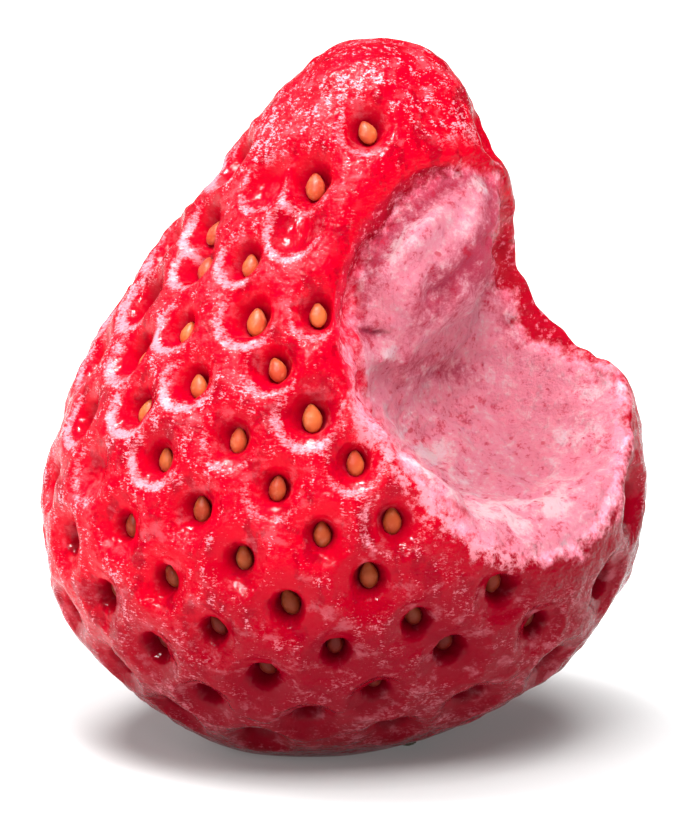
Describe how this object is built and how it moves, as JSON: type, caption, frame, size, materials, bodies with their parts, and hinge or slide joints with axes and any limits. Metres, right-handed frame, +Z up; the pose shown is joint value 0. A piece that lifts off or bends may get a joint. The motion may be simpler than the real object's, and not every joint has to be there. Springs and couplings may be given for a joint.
{
  "type": "bitten strawberry",
  "caption": "Ripe red strawberry standing on its wide stem end, tip up, with pitted skin, seeds and a bite out of one shoulder.",
  "frame": {"origin": "on the standing plane, below the middle of the fruit's widest section, which is the bottom centre of its box", "axes": "+Z up from the stem end to the tip; the bite faces -Y and +X"},
  "size_m": [0.0335, 0.0324, 0.0392],
  "materials": {
    "strawberry_flesh": "moist glossy red skin with fine grain, pale pink flesh where it is bitten",
    "strawberry_achene": "satin orange-tan seed coat",
    "dry_calyx": "matt withered grey-green leaf"
  },
  "bodies": {
    "root": {"fruit": "strawberry_flesh", "calyx_scrap": "dry_calyx"}
  },
  "joints": []
}
